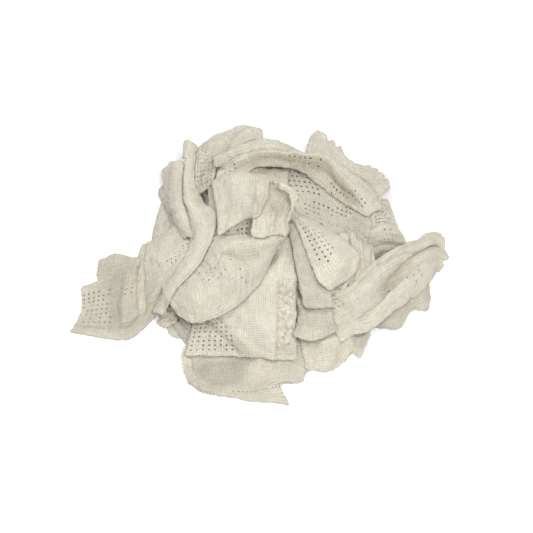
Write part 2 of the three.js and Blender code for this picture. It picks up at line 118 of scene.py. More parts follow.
# A rag's net is rows of (x, y, z) points on its upper face: rows run along the rag, and points in
# a row across it. What it shows is placed by (u, v), in hundredths along and across the net.
PLAIN = {
    "slot": "cotton_cream",
    "hidden": False,        # woven coarser, with straight edges
    "cells": (),            # the share of open cells, their width, and the outline they lie in
    "shaded_cells": False,  # open cells are dark marks of painted shadow, not holes
    "creases": (),          # half width and height in mm, below 0 for a trough, and the line
    "trim": (),             # outlines that are cut away
    "teeth": (),            # start and end across, place along, pitch and depth in mm
    "tones": (),            # greyer patches, mostly painted shade in hollows and under overhangs, partly a rag's own greyer cloth: strength and outline
    "shades": (),           # soft dark lines of painted shade along creases: half width in mm, strength, and the line
    "lumps": (),            # lumpy patches: height in mm and outline
    "tufts": (),            # where yarn ends stand up: how many for each quad, and the outline
    "ribs": (0.35, "v", 5.2),  # height of the crinkles, the way they run, and their pitch
    "soft": 1,              # how strongly the sheet is crumpled
    "ragged": 1,            # how uneven its edges are, in mm
    "fray": 1,              # how many loose ends its edges have, against the usual number
    "threads": 0.012,       # share of loose ends that are long
    "droop": (6, 9),        # how far its edges hang down, and how wide that band is, in mm
}
WHOLE = [(0, 0), (0, 100), (100, 100), (100, 0)]
RAGS = []


def cut(name, *net, **look):
    """Cuts one rag for the heap. They are laid in the order of these calls."""
    RAGS.append({**PLAIN, **look, "name": name, "net": np.array(net, float)})


cut("floor_rag",
    [(-88, -92, 0.8), (-30, -98, 0.8), (30, -96, 0.8), (92, -80, 0.8)],
    [(-104, -40, 0.8), (-34, -36, 0.8), (36, -34, 0.8), (112, -36, 0.8)],
    [(-98, 30, 0.8), (-30, 28, 0.8), (40, 30, 0.8), (104, 34, 0.8)],
    [(-70, 96, 0.8), (-26, 104, 0.8), (30, 100, 0.8), (80, 84, 0.8)],
    slot="cotton_grey", hidden=True)
cut("floor_layer",
    [(-88, -70, 10), (-86, -78, 8), (-80, -88, 3), (-74, -98, 2)],
    [(-74, -66, 14), (-72, -80, 12), (-68, -92, 8), (-66, -108, 3)],
    [(-58, -62, 12), (-56, -76, 8), (-54, -90, 10), (-56, -112, 5)],
    [(-30, -60, 10), (-30, -76, 6), (-30, -90, 6), (-34, -110, 4)],
    slot="cotton_grey")
cut("bed_rag",
    [(-72, -84, 8), (-56, -94, 8), (-30, -104, 3), (0, -106, 3), (36, -102, 3), (66, -96, 3),
     (92, -86, 3)],
    [(-88, -62, 10), (-66, -70, 16), (-34, -78, 18), (0, -80, 22), (38, -78, 20), (72, -70, 14),
     (104, -58, 4)],
    [(-112, -36, 4), (-76, -38, 20), (-38, -40, 36), (0, -38, 42), (40, -38, 36), (82, -32, 22),
     (124, -24, 5)],
    [(-110, 4, 4), (-78, 4, 24), (-40, 4, 46), (0, 4, 52), (42, 2, 40), (86, 0, 24), (124, 8, 5)],
    [(-106, 46, 4), (-76, 46, 22), (-42, 46, 40), (0, 46, 46), (40, 46, 38), (80, 42, 24), (116, 42, 5)],
    [(-94, 86, 4), (-70, 88, 14), (-40, 92, 24), (0, 94, 28), (36, 92, 28), (70, 84, 20), (100, 74, 5)],
    [(-72, 112, 3), (-54, 120, 4), (-30, 128, 4), (0, 132, 4), (34, 126, 4), (60, 114, 4), (80, 98, 3)],
    slot="cotton_grey", hidden=True)
cut("front_flap",
    [(-60, -84, 22), (-38, -80, 22), (0, -78, 22), (35, -76, 22), (58, -84, 16)],
    [(-70, -100, 14), (-44, -98, 12), (-4, -96, 10), (32, -94, 12), (58, -102, 12)],
    [(-75, -122, 18), (-52, -116, 5), (-8, -116, 5), (28, -116, 8), (52, -118, 9)],
    [(-74, -136, 15), (-58, -130, 3), (-12, -132, 3), (22, -131, 6), (45, -134, 4)],
    [(-71, -145, 12), (-56, -142, 2), (-12, -144, 3), (18, -141, 5), (39, -145, 3)],
    [(-69, -149, 9), (-53, -151, 2), (-12, -154, 3), (6, -151, 5), (21, -147, 3)],
    [(-65, -152, 8), (-50, -158, 2), (-10, -166, 2), (14, -168, 2), (29, -171, 2)],
    cells=[(0.8, 0.3, (80, 42), (80, 100), (90, 100), (90, 40))],
    creases=[
        (11, -8, (44, 34), (68, 36)),
        (3.5, 4, (40, 6), (60, 12), (90, 22), (96, 40)),
        (7, 1.6, (50, 50), (85, 60)),
        (2, -0.8, (86, 30), (84, 95)),
    ],
    tones=[
        (1.1, (41, 20), (34, 50), (68, 47), (80, 31), (56, 21)),
        (0.2, (30, 0), (30, 100), (100, 100), (100, 0)),
    ],
    shaded_cells=True, ribs=(0.25, "u", 5.2))
cut("right_under",
    [(103, -68, 10), (110, -76, 5), (114, -81, 2)],
    [(118, -52, 14), (127, -68, 9), (137, -82, 2)],
    [(133, -36, 16), (142, -50, 8), (149, -61, 3)],
    [(148, -18, 14), (158, -38, 11), (165, -60, 3)],
    [(152, -4, 8), (166, -24, 9), (170, -42, 3)],
    slot="cotton_grey", ribs=(0.5, "u", 5.2), ragged=1.6)
cut("lower_right",
    [(38, -90, 22), (62, -90, 24), (82, -84, 24), (95, -80, 16), (110, -80, 10)],
    [(40, -104, 12), (64, -106, 18), (84, -97, 19), (95, -94, 8), (108, -90, 7)],
    [(43, -119, 4), (66, -121, 13), (82, -109, 11), (92, -107, 4), (103, -104, 5)],
    [(45, -130, 2), (66, -132, 3), (81, -122, 2), (91, -111, 2), (98, -117, 3)],
    creases=[(3.5, -1.6, (10, 50), (90, 42)), (3, 1.2, (10, 66), (90, 60))],
    ribs=(0.4, "u", 5.2), ragged=1.6)
cut("star_sheet",
    [(42, 82, 46), (56, 82, 46), (74, 78, 44), (90, 72, 38), (106, 62, 36), (114, 50, 36)],
    [(47, 106, 38), (60, 110, 42), (76, 104, 40), (93, 92, 36), (110, 81, 36), (124, 64, 32)],
    [(49, 134, 20), (60, 140, 22), (78, 126, 24), (93, 110, 22), (114, 98, 24), (130, 79, 20)],
    [(50, 152, 6), (59, 163, 7), (80, 145, 5), (94, 123, 4), (118, 115, 5), (136, 98, 4)],
    creases=[(3, -2.5, (10, 50), (30, 100)), (3, 1.2, (20, 30), (60, 20))],
    trim=[
        [(84, 23), (101, 20), (101, 27), (93, 27)],
        [(80, 29), (101, 29), (101, 35), (84, 34)],
        [(76, 36), (101, 38), (101, 44), (78, 42)],
    ],
    teeth=[(0, 50, 100, 6.5, 5), (50, 100, 94, 8.5, 17)],
    ribs=(0.7, "v", 5.2), soft=1.4, ragged=2.4)
cut("left_back",
    [(-97, 92, 10), (-90, 89, 24), (-78, 84, 34), (-56, 80, 36)],
    [(-104, 86, 3), (-93, 70, 20), (-78, 58, 34), (-54, 56, 40)],
    [(-97, 67, 3), (-88, 53, 18), (-74, 38, 32), (-52, 34, 42)],
    [(-91, 47, 3), (-82, 34, 18), (-68, 16, 32), (-50, 10, 42)],
    [(-90, 28, 4), (-80, 12, 18), (-66, -4, 30), (-50, -10, 38)],
    slot="cotton_grey")
cut("left_tab",
    [(-94, 102, 28), (-89, 102, 36), (-82, 90, 44)],
    [(-99, 96, 22), (-92, 82, 34), (-82, 69, 46)],
    [(-97, 78, 24), (-91, 65, 32), (-84, 51, 42)],
    [(-90, 57, 26), (-87, 48, 31), (-81, 35, 38)],
    creases=[(1.6, -1.2, (10, 50), (90, 50))],
    ribs=(0.5, "u", 5.2), ragged=1.6)
cut("left_rag",
    [(-62, 34, 34), (-60, 6, 34), (-62, -18, 32), (-66, -38, 28)],
    [(-90, 24, 24), (-82, -4, 32), (-80, -28, 32), (-88, -54, 26)],
    [(-110, 20, 9), (-101, -10, 24), (-99, -38, 24), (-103, -72, 12)],
    [(-119, 14, 11), (-113, -12, 6), (-114, -42, 6), (-116, -84, 5)],
    [(-124, 4, 4), (-124, -18, 10), (-125, -46, 12), (-128, -94, 3)],
    [(-143, 5, 9), (-143, -22, 5), (-146, -52, 4), (-148, -94, 3)],
    [(-166, -1, 5), (-177, -32, 6), (-176, -60, 6), (-187, -86, 2)],
    cells=[
        (0.88, 1, (100, 42), (86, 42), (83, 86), (98, 88)),
        (1, 0.7, (79, 46), (66, 54), (66, 68), (78, 64)),
        (1, 0.8, (8, 27), (7, 40), (24, 60), (28, 46)),
    ],
    creases=[
        (4.5, -4.2, (86, 30), (83, 62), (80, 88)),
        (5, 3.2, (75, 36), (73, 86)),
        (3.5, -4.6, (64, 10), (60, 60), (50, 84)),
        (2, -2.8, (100, 90), (82, 89), (68, 90), (44, 82), (23, 80)),
        (4.5, 1.4, (100, 95), (82, 95), (68, 96), (44, 90), (23, 88)),
        (1.5, -1, (96, 14), (64, 36)),
        (1.5, -0.8, (94, 26), (70, 44)),
        (5, 1.8, (38, 6), (50, 30), (44, 76)),
        (2.5, -1.2, (30, 10), (36, 40), (30, 70)),
    ],
    trim=[[(101, -1), (99, -1), (94.5, 20), (92.5, 33), (101, 35)]],
    tones=[
        (0.45, (62, 0), (60, 100), (100, 100), (100, 0)),
        (0.35, (88, 36), (80, 36), (74, 92), (85, 90)),
        (0.25, (90, 8), (64, 13), (62, 45), (92, 36)),
        (0.35, (78, 92), (50, 84), (32, 85), (30, 100), (78, 100)),
        (0.4, (66, 10), (60, 10), (54, 80), (66, 84)),
    ],
    shades=[
        (1.2, 0.8, (100, 90), (82, 90), (70, 90), (57, 86), (44, 82), (32, 84)),
        (3.5, 0.5, (86, 30), (83, 62), (81, 88)),
    ],
    shaded_cells=True, ribs=(0.8, "u", 4.2))
cut("right_panel",
    [(84, 48, 30), (106, 44, 41), (118, 53, 36), (130, 66, 18)],
    [(84, 24, 28), (105, 20, 44), (120, 32, 38), (137, 47, 10)],
    [(86, 4, 26), (104, 2, 46), (122, 13, 42), (142, 29, 14)],
    [(88, -10, 26), (106, -8, 38), (126, 4, 30), (151, 17, 5)],
    [(92, -22, 22), (111, -14, 26), (130, -4, 18), (150, 8, 6)],
    cells=[
        (1, 1.5, (3, 50), (3, 97), (37, 88), (40, 54)),
        (1, 1.4, (50, 64), (44, 99), (70, 90), (74, 62)),
    ],
    creases=[
        (2.5, -2.2, (42, 30), (41, 98)),
        (2.5, 1.6, (52, 30), (54, 60)),
        (2, -3, (80, 30), (76, 95)),
        (2.2, 1.4, (68, 30), (72, 90)),
        (2.4, -3, (98, 41), (94, 53), (95, 68), (88, 92)),
    ],
    shades=[
        (1.8, 1.2, (98, 41), (94, 53), (95, 68), (88, 92)),
        (1.4, 0.6, (78, 45), (76, 65), (80, 85)),
        (1.2, 0.5, (42, 46), (42, 73), (34, 96)),
    ],
    ribs=(0.5, "v", 5.2), soft=1.3)
cut("hollow",
    [(20, 92, 44), (45, 88, 44), (75, 70, 42), (106, 46, 44)],
    [(28, 64, 42), (60, 64, 34), (86, 49, 32), (109, 30, 44)],
    [(35, 39, 44), (60, 35, 32), (85, 25, 30), (109, 10, 46)],
    [(44, 4, 40), (70, 0, 30), (90, -4, 30), (108, -12, 40)],
    cells=[
        (1, 1.5, (10, 4), (6, 38), (38, 32), (48, 2)),
        (0.9, 1.2, (56, 13), (32, 78), (50, 74), (74, 10)),
        (0.7, 0.6, (76, 10), (60, 74), (66, 74), (84, 8)),
    ],
    creases=[(2, 0.9, (80, 10), (66, 80)), (3, -1.2, (86, 40), (90, 80))],
    slot="cotton_grey", ribs=(0.25, "v", 5.2))
cut("gather",
    [(76, 6, 40), (88, 8, 41), (101, 4, 41), (112, -8, 38)],
    [(76, -28, 44), (90, -28, 47), (102, -30, 46), (113, -38, 43)],
    [(70, -54, 40), (84, -52, 44), (97, -54, 43), (107, -62, 40)],
    [(60, -68, 34), (76, -71, 38), (90, -73, 37), (101, -79, 34)],
    [(50, -84, 24), (68, -90, 28), (84, -94, 28), (98, -98, 22)],
    cells=[(0.8, 0.6, (50, 12), (50, 67), (62, 77), (68, 26))],
    ribs=(2.6, "u", 5.2), soft=1.8)
cut("right_arm",
    [(46, -66, 30), (56, -78, 30), (66, -90, 26), (74, -98, 20), (80, -104, 13)],
    [(68, -67, 36), (76, -70, 33), (84, -80, 31), (90, -89, 27), (97, -96, 17)],
    [(90, -53, 40), (95, -64, 43), (99, -74, 37), (104, -84, 33), (110, -92, 17)],
    [(112, -25, 38), (118, -40, 41), (125, -52, 31), (129, -65, 34), (127, -74, 16)],
    [(134, -4, 31), (139, -22, 37), (146, -31, 25), (152, -46, 28), (150, -54, 14)],
    [(151, 12, 20), (156, -6, 31), (160, -16, 22), (165, -28, 24), (168, -32, 10)],
    [(170, 34, 6), (176, 14, 20), (178, 4, 14), (177, -8, 14), (176, -17, 6)],
    [(183, 32, 5), (186, 16, 10), (189, 2, 8), (186, -6, 8), (180, -14, 5)],
    cells=[
        (1, 1.4, (42, 46), (42, 56), (46, 56), (46, 46)),
        (0.6, 0.5, (52, 62), (54, 80), (70, 76), (72, 60)),
        (0.9, 1, (4, 20), (4, 40), (20, 36), (20, 20)),
    ],
    creases=[
        (4.2, -7.5, (20, 80), (35, 70), (45, 48), (57, 38), (70, 33), (92, 38)),
        (1.6, -2, (56, 17), (70, 27), (84, 38)),
        (5.5, 3.6, (7, 26), (20, 32), (36, 30), (50, 24), (80, 16)),
        (4.6, 4, (22, 90), (38, 78), (52, 62), (80, 50)),
        (2.2, -1.6, (30, 10), (60, 8)),
        (2.4, -2, (62, 74), (40, 94)),
        (1.8, -1.6, (84, 10), (97, 30)),
    ],
    trim=[[(101, 58), (93, 66), (95, 78), (101, 84)], [(101, 26), (97, 32), (101, 38)]],
    tones=[
        (0.5, (60, 28), (55, 42), (44, 52), (33, 74), (26, 66), (40, 40)),
        (0.25, (80, 10), (80, 60), (100, 60), (100, 10)),
        (0.15, *WHOLE),
    ],
    shades=[
        (2, 0.5, (70, 33), (57, 38), (45, 48), (35, 70)),
        (1, 0.8, (56, 17), (70, 27), (84, 38), (98, 42)),
    ],
    slot="cotton_bright", shaded_cells=True, ribs=(0.5, "u", 5.2), ragged=1.8)
cut("tuft",
    [(-93, -60, 24), (-87, -60, 26), (-80, -66, 24)],
    [(-93, -68, 16), (-84, -74, 20), (-75, -74, 20)],
    [(-103, -78, 7), (-93, -83, 7), (-82, -76, 13)],
    lumps=[(1.6, *WHOLE)],
    tufts=[(1, (10, 10), (10, 90), (90, 90), (90, 10))],
    ribs=(1.2, "v", 5.2), soft=2.2, ragged=2.2, fray=2)
cut("core_sheet",
    [(-55, 88, 44), (-15, 84, 50), (28, 82, 46)],
    [(-57, 55, 44), (-20, 46, 60), (28, 50, 52)],
    [(-50, 25, 44), (-20, 17, 58), (26, 17, 56)],
    [(-48, -6, 44), (-20, -12, 56), (18, -12, 56)],
    slot="cotton_grey")
cut("inner_panel",
    [(-52, 52, 58), (-30, 52, 62), (0, 50, 64), (26, 44, 62)],
    [(-50, 26, 60), (-30, 24, 70), (0, 25, 69), (27, 24, 58)],
    [(-47, 4, 60), (-30, 0, 67), (-4, 2, 68), (24, 6, 58)],
    [(-43, -16, 54), (-28, -20, 61), (-6, -16, 65), (20, -8, 57)],
    cells=[(0.75, 1, (66, 14), (60, 62), (99, 64), (97, 12))],
    slot="cotton_grey")
cut("back_loop",
    [(-72, 46, 48), (-62, 46, 53), (-54, 54, 50), (-47, 64, 48)],
    [(-76, 68, 48), (-64, 66, 58), (-54, 73, 54), (-44, 81, 50)],
    [(-76, 99, 30), (-63, 98, 52), (-51, 93, 56), (-41, 92, 52)],
    [(-62, 138, 8), (-53, 127, 36), (-44, 112, 52), (-30, 100, 50)],
    [(-38, 152, 5), (-34, 141, 32), (-30, 122, 50), (-23, 106, 52)],
    [(-16, 158, 4), (-16, 148, 32), (-14, 129, 50), (-10, 114, 54)],
    [(2, 156, 4), (0, 148, 28), (2, 132, 42), (3, 121, 45)],
    cells=[(0.95, 0.9, (44, 20), (44, 50), (20, 86), (2, 84), (9, 30))],
    creases=[
        (1.8, -2.2, (44, 98), (60, 80), (76, 50), (96, 40)),
        (3, 1.2, (50, 40), (70, 50), (90, 70)),
        (3, 1.4, (10, 30), (10, 95)),
    ],
    shades=[(1.2, 0.8, (40, 98), (60, 86), (80, 60), (98, 45))],
    ribs=(0.35, "u", 5.2))
cut("back_band",
    [(-46, 78, 54), (-47, 86, 60), (-42, 96, 50), (-40, 108, 34)],
    [(-25, 82, 60), (-27, 91, 66), (-24, 105, 54), (-22, 118, 28)],
    [(2, 88, 62), (0, 97, 68), (2, 114, 54), (4, 134, 14)],
    [(25, 88, 60), (25, 97, 64), (25, 114, 48), (26, 138, 5)],
    [(43, 89, 54), (43, 98, 52), (42, 111, 38), (42, 132, 4)],
    creases=[(2, -1.4, (10, 50), (50, 45), (90, 50))],
    ribs=(0.5, "u", 5.2), ragged=1.4)
cut("ridge_band",
    [(-38, 76, 60), (-40, 70, 66), (-43, 62, 66), (-46, 55, 58)],
    [(-20, 88, 64), (-18, 80, 71), (-17, 72, 74), (-14, 66, 64)],
    [(2, 92, 66), (2, 84, 74), (2, 77, 77), (2, 71, 68)],
    [(40, 92, 62), (40, 84, 72), (40, 75, 76), (38, 69, 64)],
    [(66, 92, 56), (67, 81, 69), (66, 70, 74), (58, 57, 56)],
    [(90, 84, 44), (87, 68, 61), (80, 52, 70), (75, 44, 52)],
    [(110, 66, 38), (103, 54, 55), (95, 40, 65), (90, 34, 50)],
    [(122, 44, 32), (117, 38, 38), (111, 31, 42), (105, 27, 42)],
    cells=[
        (0.85, 0.8, (36, 55), (36, 81), (55, 81), (55, 55)),
        (0.95, 1, (62, 80), (66, 99), (79, 90), (96, 76), (95, 50), (79, 69)),
        (0.4, 0.8, (56, 30), (62, 50), (72, 52), (66, 30)),
        (0.7, 0.6, (64, 10), (74, 8), (90, 30), (90, 42)),
        (0.6, 0.4, (2, 30), (12, 30), (12, 80), (2, 80)),
    ],
    creases=[
        (3.5, -4, (46, 12), (60, 20), (72, 36), (88, 44)),
        (2, -1.2, (8, 35), (30, 20), (50, 10)),
        (3, -2.6, (50, 85), (62, 80), (76, 80)),
        (3, 2.4, (10, 60), (40, 50), (60, 55), (80, 62)),
    ],
    tones=[(0.6, (52, 4), (66, 29), (84, 48), (80, 66), (68, 62), (57, 50))],
    slot="cotton_bright", ribs=(0.3, "u", 5.2), droop=(20, 12))
cut("front_panel",
    [(-55, -32, 34), (-28, -31, 46), (-5, -28, 52), (10, -26, 58), (23, -17, 66), (32, -13, 64)],
    [(-58, -56, 30), (-33, -56, 40), (-8, -55, 46), (10, -57, 52), (24, -49, 58), (35, -46, 54)],
    [(-63, -78, 24), (-36, -80, 31), (-10, -81, 38), (11, -81, 42), (25, -79, 45), (35, -75, 42)],
    [(-68, -100, 19), (-38, -100, 21), (-10, -104, 28), (12, -106, 31), (25, -105, 32), (35, -103, 30)],
    [(-73, -121, 14), (-38, -119, 12), (-10, -123, 15), (12, -126, 16), (25, -126, 14), (36, -123, 12)],
    cells=[
        (0.92, 0.55, (80, 1), (56, 3), (53, 14), (76, 30), (97, 31), (98, 2)),
        (0.6, 0.6, (39, 10), (40, 26), (54, 32), (53, 17)),
    ],
    creases=[
        (3.2, -3.2, (52, 6), (76, 20), (97, 32)),
        (4, 2.2, (50, 20), (70, 27), (94, 42)),
        (2, -2.2, (32, 70), (97, 64)),
        (3.2, 2.4, (34, 90), (98, 88)),
        (4, 0.9, (40, 40), (72, 50)),
    ],
    shades=[(1.8, 0.45, (30, 68), (95, 66)), (2.5, 0.4, (52, 6), (76, 20), (97, 32))],
    lumps=[(3.4, (30, 70), (34, 93), (94, 94), (94, 70))],
    tufts=[(0.9, (30, 74), (34, 95), (96, 94), (96, 72))],
    slot="cotton_bright", ribs=(0.35, "u", 5.2), soft=0.9, ragged=1.7, fray=1.8, threads=0.05)
cut("tab",
    [(37, -66, 34), (52, -64, 35), (67, -66, 34)],
    [(38, -83, 29), (53, -84, 32), (71, -87, 30)],
    [(32, -103, 22), (54, -109, 23), (76, -98, 24)],
    creases=[(3, -1, (70, 10), (75, 60)), (2.5, 1, (90, 30), (80, 90))],
    tones=[(0.45, *WHOLE)],
    tufts=[(1.2, (30, 0), (30, 16), (90, 20), (95, 0))],
    ragged=1.2, fray=2)
cut("grey_strip",
    [(27, -5, 74), (36, -5, 74), (46, -8, 70)],
    [(33, -35, 64), (43, -35, 66), (56, -32, 60)],
    [(38, -59, 52), (50, -59, 54), (66, -55, 48)],
    [(43, -79, 38), (56, -83, 40), (73, -79, 38)],
    tones=[(0.2, *WHOLE)],
    slot="cotton_grey", ribs=(0.3, "u", 5.2), soft=0.8, ragged=1)
cut("corner_flap",
    [(29, 5, 78), (33, 8, 80), (37, 7, 78)],
    [(38, -14, 74), (48, -12, 78), (60, -6, 72)],
    [(46, -36, 67), (62, -32, 73), (82, -14, 60)],
    [(57, -60, 56), (76, -49, 62), (97, -24, 50)],
    [(69, -66, 46), (83, -57, 49), (95, -43, 45)],
    cells=[(1, 1.3, (12, 30), (30, 68), (58, 67), (70, 33), (53, 12), (30, 10))],
    creases=[(1.2, 0.6, (10, 10), (50, 6), (95, 8)), (3, 0.8, (75, 20), (70, 90))],
    slot="cotton_bright", ribs=(0.2, "u", 5.2), soft=0.7)
cut("bowl_panel",
    [(-98, -49, 30), (-92, -62, 34), (-91, -67, 34), (-86, -75, 33), (-80, -83, 30)],
    [(-82, -36, 36), (-72, -55, 41), (-69, -66, 42), (-67, -79, 40), (-65, -94, 32)],
    [(-66, -21, 42), (-52, -44, 52), (-48, -55, 53), (-45, -70, 51), (-47, -94, 38)],
    [(-50, -6, 52), (-36, -28, 67), (-32, -38, 61), (-25, -58, 60), (-25, -85, 44)],
    [(-12, -12, 66), (-11, -26, 74), (-10, -38, 63), (-4, -50, 62), (-4, -66, 52)],
    [(14, -10, 68), (13, -22, 76), (12, -31, 66), (10, -40, 64), (6, -52, 58)],
    [(30, -6, 72), (29, -13, 76), (26, -20, 72), (20, -27, 70), (14, -34, 66)],
    cells=[
        (0.6, 0.5, (28, 20), (40, 28), (54, 46), (57, 58), (43, 66), (27, 52)),
        (0.7, 0.4, (50, 62), (53, 62), (62, 90), (58, 90)),
    ],
    creases=[
        (2.2, -3.4, (46, 36), (58, 54), (72, 50)),
        (4, 1.8, (40, 20), (62, 24), (95, 40)),
        (2, -2, (76, 40), (90, 42)),
        (4, 1, (8, 60), (46, 80), (82, 60)),
        (2.6, -1.2, (27, 50), (50, 97)),
        (3, 1.2, (12, 35), (30, 96)),
        (2.6, -0.9, (60, 60), (70, 95)),
    ],
    shaded_cells=True, ribs=(0.8, "v", 4.6))
cut("left_strip",
    [(-78, 116, 44), (-74, 114, 55), (-69, 111, 56), (-64, 110, 48)],
    [(-79, 92, 50), (-75, 87, 61), (-70, 86, 61), (-65, 88, 54)],
    [(-81, 66, 54), (-76, 57, 65), (-71, 56, 64), (-65, 60, 56)],
    [(-82, 44, 51), (-74, 32, 63), (-65, 30, 64), (-56, 36, 56)],
    [(-75, 15, 51), (-65, 8, 61), (-54, 8, 63), (-43, 18, 58)],
    [(-69, -10, 48), (-62, -14, 55), (-55, -14, 58), (-47, -10, 57)],
    [(-79, -32, 43), (-72, -33, 46), (-66, -35, 47), (-60, -34, 46)],
    [(-92, -50, 34), (-89, -53, 38), (-86, -56, 39), (-82, -58, 37)],
    [(-106, -74, 20), (-102, -78, 24), (-98, -80, 26), (-94, -80, 24)],
    creases=[(2.5, 0.8, (10, 40), (30, 50), (50, 55)), (2.5, -1, (30, 16), (56, 20))],
    trim=[[(10, -1), (12.5, 40), (15, 44), (17, -1)]],
    slot="cotton_bright", ribs=(0.22, "u", 5.2), soft=0.7, droop=(10, 9))
cut("left_fold",
    [(-88, 88, 50), (-84, 86, 58), (-80, 85, 58), (-76, 86, 54)],
    [(-90, 68, 46), (-86, 62, 56), (-82, 60, 57), (-78, 62, 56)],
    [(-90, 44, 42), (-86, 38, 52), (-82, 36, 54), (-77, 38, 52)],
    [(-84, 22, 38), (-80, 17, 48), (-76, 14, 51), (-70, 14, 50)],
    [(-75, 3, 38), (-72, 0, 45), (-69, -1, 46), (-66, 0, 45)],
    ribs=(0.4, "u", 5.2))
cut("top_curl",
    [(2, 48, 72), (11, 43, 78), (21, 36, 84), (31, 31, 82), (38, 22, 78)],
    [(1, 43, 80), (10, 40, 84), (21, 29, 95), (31, 24, 93), (37, 15, 88)],
    [(3, 37, 76), (12, 33, 78), (21, 29, 81), (29, 21, 83), (34, 7, 88)],
    [(0, 20, 76), (11, 18, 75), (20, 18, 74), (28, 11, 78), (32, -2, 86)],
    [(-7, -1, 80), (4, -4, 82), (16, 2, 74), (24, -3, 77), (29, -11, 82)],
    [(-9, -22, 78), (2, -26, 79), (13, -20, 76), (20, -21, 77), (24, -23, 77)],
    creases=[
        (2.2, 3, (50, 2), (38, 20), (28, 55), (29, 86), (50, 97), (85, 97)),
        (4.5, -3, (52, 30), (46, 60), (56, 80), (76, 74)),
        (2, -2.6, (70, 50), (80, 52), (97, 54)),
        (4.5, 2.2, (72, 10), (84, 26), (96, 30)),
        (3, 1.6, (88, 78), (97, 80)),
    ],
    tones=[(0.75, (53, 17), (42, 60), (46, 84), (72, 84), (80, 55), (66, 28))],
    shades=[(1.3, 0.5, (46, 5), (50, 20), (62, 26), (70, 42), (96, 54))],
    slot="cotton_bright", ribs=(0.7, "u", 4.4), ragged=1.6, fray=2, droop=(2, 4))
cut("top_flap",
    [(-46, 58, 60), (-30, 62, 62), (-13, 62, 64), (0, 56, 63), (9, 50, 66)],
    [(-48, 48, 70), (-32, 50, 80), (-14, 50, 84), (0, 42, 86), (9, 37, 86)],
    [(-46, 36, 76), (-31, 36, 85), (-14, 36, 90), (-1, 33, 87), (9, 30, 85)],
    [(-44, 20, 75), (-29, 20, 84), (-13, 20, 89), (-3, 19, 86), (7, 21, 82)],
    [(-42, 3, 73), (-28, 4, 81), (-12, 6, 86), (-5, 7, 84), (3, 10, 82)],
    [(-41, -16, 68), (-27, -10, 76), (-11, -3, 81), (-6, -2, 80), (0, 1, 80)],
    creases=[
        (3.5, -1.6, (35, 18), (61, 20), (95, 12)),
        (4, 1.3, (36, 46), (66, 48), (90, 42)),
        (2.2, -1.5, (30, 70), (60, 74), (85, 70)),
        (1.8, 1, (30, 84), (60, 86)),
        (2.2, -2.2, (60, 72), (76, 86), (92, 90)),
    ],
    shades=[(1.6, 0.5, (62, 74), (76, 88), (92, 90))],
    ribs=(0.5, "u", 4.6), soft=0.9, fray=1.4)

# ------- surfaces

def spline_matrix(count, places):
    """Weights of a smooth curve through evenly spaced points, at places from 0 to 1 along it."""
    weights = np.zeros((len(places), count))
    for row, t in enumerate(places * (count - 1)):
        i = min(int(t), count - 2)
        f = t - i
        basis = (
            -0.5 * f + f * f - 0.5 * f**3,
            1 - 2.5 * f * f + 1.5 * f**3,
            0.5 * f + 2 * f * f - 1.5 * f**3,
            -0.5 * f * f + 0.5 * f**3,
        )
        for j, value in zip(range(i - 1, i + 3), basis):
            if j < 0:
                weights[row, 0] += 2 * value
                weights[row, 1] -= value
            elif j > count - 1:
                weights[row, count - 1] += 2 * value
                weights[row, count - 2] -= value
            else:
                weights[row, j] += value
    return weights


def surface(net, u, v):
    along = spline_matrix(net.shape[0], u)
    across = spline_matrix(net.shape[1], v)
    return np.einsum("ua,abk,vb->uvk", along, net, across)


def even_places(net, axis, samples):
    """Places from 0 to 1 along one way of a net that lie evenly spaced on its surface."""
    fine = np.linspace(0, 1, 81)
    steps = np.linalg.norm(np.diff(surface(net, fine, fine), axis=axis), axis=2).mean(axis=1 - axis)
    distance = np.concatenate(([0], np.cumsum(steps)))
    return np.interp(np.linspace(0, distance[-1], samples), distance, fine)


def smooth_field(coarse, shape):
    along = spline_matrix(coarse.shape[0], np.linspace(0, 1, shape[0]))
    across = spline_matrix(coarse.shape[1], np.linspace(0, 1, shape[1]))
    return along @ coarse @ across.T


def mean_lengths(net):
    """The mean length of a net's surface along and across, in mm."""
    fine = np.linspace(0, 1, 81)
    points = surface(net, fine, fine)
    along = np.linalg.norm(np.diff(points, axis=0), axis=2).sum(axis=0).mean()
    across = np.linalg.norm(np.diff(points, axis=1), axis=2).sum(axis=1).mean()
    return along, across


def normals_of(points):
    normals = np.cross(np.gradient(points, axis=0), np.gradient(points, axis=1))
    normals /= np.linalg.norm(normals, axis=2, keepdims=True) + 1e-9
    if normals[..., 2].sum() < 0:
        normals = -normals
    return normals


def soft_noise(rng, size, shape, along, across=None):
    """Smooth noise between about -1 and 1 over a sheet, with bumps of the given size in mm."""
    rows = max(3, int(size[0] / along * 2) + 2)
    columns = max(3, int(size[1] / (across or along) * 2) + 2)
    return smooth_field(rng.uniform(-1, 1, (rows, columns)), shape)


def blur(field, radius):
    """Box blur along both axes, twice, with the edges carried outwards."""
    radius = int(radius)
    if radius < 1:
        return field
    width = 2 * radius + 1
    for axis in (0, 1, 0, 1):
        padding = [(0, 0), (0, 0)]
        padding[axis] = (radius + 1, radius)
        total = np.cumsum(np.pad(field, padding, mode="edge"), axis=axis)
        upper = np.take(total, range(width, total.shape[axis]), axis=axis)
        lower = np.take(total, range(0, total.shape[axis] - width), axis=axis)
        field = (upper - lower) / width
    return field


# ------- laying the rags

COLUMNS = int(2 * HALF_X / RASTER) + 1
ROWS = int(2 * HALF_Y / RASTER) + 1
heights = np.full((COLUMNS, ROWS), -GAP)


def raster_index(points):
    i = np.clip(np.rint((points[..., 0] + HALF_X) / RASTER).astype(int), 0, COLUMNS - 1)
    j = np.clip(np.rint((points[..., 1] + HALF_Y) / RASTER).astype(int), 0, ROWS - 1)
    return i, j


